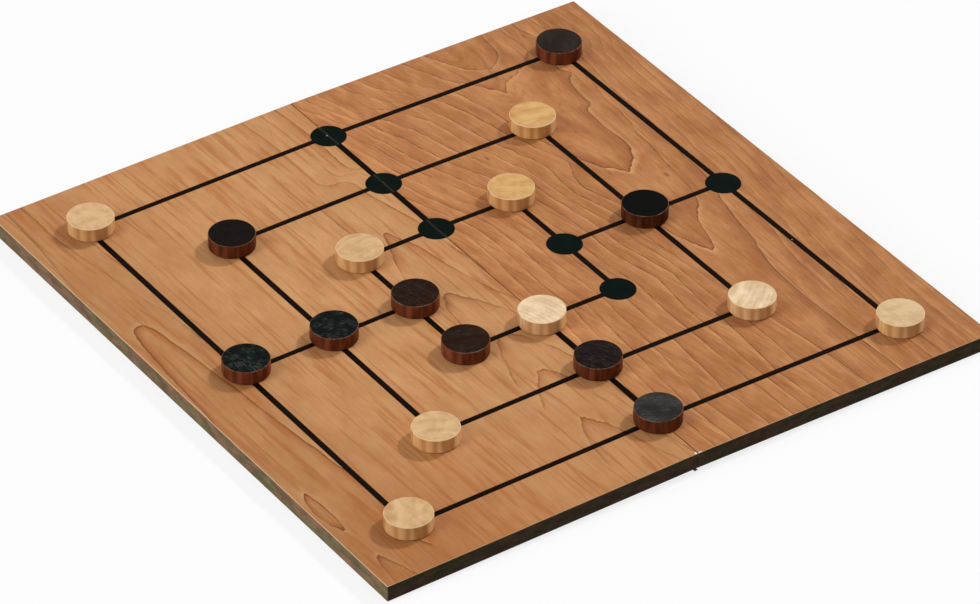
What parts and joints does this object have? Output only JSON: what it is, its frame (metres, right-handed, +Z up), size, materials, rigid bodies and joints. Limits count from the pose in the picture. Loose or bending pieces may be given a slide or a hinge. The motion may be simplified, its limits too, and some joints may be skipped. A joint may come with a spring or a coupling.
{
  "type": "nine men's morris board",
  "caption": "Folding wooden nine men's morris board, two veneered halves on brass butt hinges, laid out for play with its loose light and dark wooden men.",
  "frame": {"origin": "on the table under the middle of the open board", "axes": "+X across the seam, +Y along the seam, +Z up"},
  "size_m": [0.3702, 0.37, 0.0197],
  "materials": {
    "core": "fibreboard, edges stained dark, dull",
    "face_veneer": "satin-lacquered cherry veneer",
    "back_veneer": "plain veneer, thin matt lacquer",
    "print": "screen-printed ink, slight sheen",
    "hinge_leaf": "plain pressed brass, satin",
    "hinge_pin": "drawn wire, ends peened",
    "hinge_screw": "turned brass, slotted",
    "light_wood": "turned maple, waxed",
    "dark_wood": "stained hardwood, waxed"
  },
  "bodies": {
    "left_half": {"left_core": "core", "left_face_veneer": "face_veneer", "left_back_veneer": "back_veneer", "left_printed_lines": "print", "near_hinge_left_leaf": "hinge_leaf", "near_hinge_left_screws": "hinge_screw", "near_hinge_pin": "hinge_pin", "far_hinge_left_leaf": "hinge_leaf", "far_hinge_left_screws": "hinge_screw", "far_hinge_pin": "hinge_pin"},
    "right_half": {"right_core": "core", "right_face_veneer": "face_veneer", "right_back_veneer": "back_veneer", "right_printed_lines": "print", "near_hinge_right_leaf": "hinge_leaf", "near_hinge_right_screws": "hinge_screw", "far_hinge_right_leaf": "hinge_leaf", "far_hinge_right_screws": "hinge_screw"},
    "light_man_1": {"light_man_1": "light_wood"},
    "light_man_2": {"light_man_2": "light_wood"},
    "light_man_3": {"light_man_3": "light_wood"},
    "light_man_4": {"light_man_4": "light_wood"},
    "light_man_5": {"light_man_5": "light_wood"},
    "light_man_6": {"light_man_6": "light_wood"},
    "light_man_7": {"light_man_7": "light_wood"},
    "light_man_8": {"light_man_8": "light_wood"},
    "light_man_9": {"light_man_9": "light_wood"},
    "dark_man_1": {"dark_man_1": "dark_wood"},
    "dark_man_2": {"dark_man_2": "dark_wood"},
    "dark_man_3": {"dark_man_3": "dark_wood"},
    "dark_man_4": {"dark_man_4": "dark_wood"},
    "dark_man_5": {"dark_man_5": "dark_wood"},
    "dark_man_6": {"dark_man_6": "dark_wood"},
    "dark_man_7": {"dark_man_7": "dark_wood"},
    "dark_man_8": {"dark_man_8": "dark_wood"},
    "dark_man_9": {"dark_man_9": "dark_wood"}
  },
  "joints": [
    {"name": "board_fold", "type": "hinge", "parent": "left_half", "child": "right_half", "pos_m": [0, 0, 0.00145], "axis": [0, 1, 0], "range_deg": [-1.25, 178.7]},
    {"name": "light_man_1_lift", "type": "slide", "parent": "left_half", "child": "light_man_1", "axis": [-0.0114, 0, 0.9999], "range_m": [0, 0.03]},
    {"name": "light_man_2_lift", "type": "slide", "parent": "right_half", "child": "light_man_2", "axis": [0.0114, 0, 0.9999], "range_m": [0, 0.03]},
    {"name": "light_man_3_lift", "type": "slide", "parent": "right_half", "child": "light_man_3", "axis": [0.0114, 0, 0.9999], "range_m": [0, 0.03]},
    {"name": "light_man_4_lift", "type": "slide", "parent": "left_half", "child": "light_man_4", "axis": [-0.0114, 0, 0.9999], "range_m": [0, 0.03]},
    {"name": "light_man_5_lift", "type": "slide", "parent": "left_half", "child": "light_man_5", "axis": [-0.0114, 0, 0.9999], "range_m": [0, 0.03]},
    {"name": "light_man_6_lift", "type": "slide", "parent": "right_half", "child": "light_man_6", "axis": [0.0114, 0, 0.9999], "range_m": [0, 0.03]},
    {"name": "light_man_7_lift", "type": "slide", "parent": "left_half", "child": "light_man_7", "axis": [-0.0114, 0, 0.9999], "range_m": [0, 0.03]},
    {"name": "light_man_8_lift", "type": "slide", "parent": "left_half", "child": "light_man_8", "axis": [-0.0114, 0, 0.9999], "range_m": [0, 0.03]},
    {"name": "light_man_9_lift", "type": "slide", "parent": "right_half", "child": "light_man_9", "axis": [0.0114, 0, 0.9999], "range_m": [0, 0.03]},
    {"name": "dark_man_1_lift", "type": "slide", "parent": "right_half", "child": "dark_man_1", "axis": [0.0114, 0, 0.9999], "range_m": [0, 0.03]},
    {"name": "dark_man_2_lift", "type": "slide", "parent": "left_half", "child": "dark_man_2", "axis": [-0.0114, 0, 0.9999], "range_m": [0, 0.03]},
    {"name": "dark_man_3_lift", "type": "slide", "parent": "right_half", "child": "dark_man_3", "axis": [0.0114, 0, 0.9999], "range_m": [0, 0.03]},
    {"name": "dark_man_4_lift", "type": "slide", "parent": "left_half", "child": "dark_man_4", "axis": [-0.0114, 0, 0.9999], "range_m": [0, 0.03]},
    {"name": "dark_man_5_lift", "type": "slide", "parent": "left_half", "child": "dark_man_5", "axis": [-0.0114, 0, 0.9999], "range_m": [0, 0.03]},
    {"name": "dark_man_6_lift", "type": "slide", "parent": "left_half", "child": "dark_man_6", "axis": [-0.0114, 0, 0.9999], "range_m": [0, 0.03]},
    {"name": "dark_man_7_lift", "type": "slide", "parent": "left_half", "child": "dark_man_7", "axis": [-0.0114, 0, 0.9999], "range_m": [0, 0.03]},
    {"name": "dark_man_8_lift", "type": "slide", "parent": "left_half", "child": "dark_man_8", "axis": [-0.0114, 0, 0.9999], "range_m": [0, 0.03]},
    {"name": "dark_man_9_lift", "type": "slide", "parent": "left_half", "child": "dark_man_9", "axis": [-0.0114, 0, 0.9999], "range_m": [0, 0.03]}
  ]
}
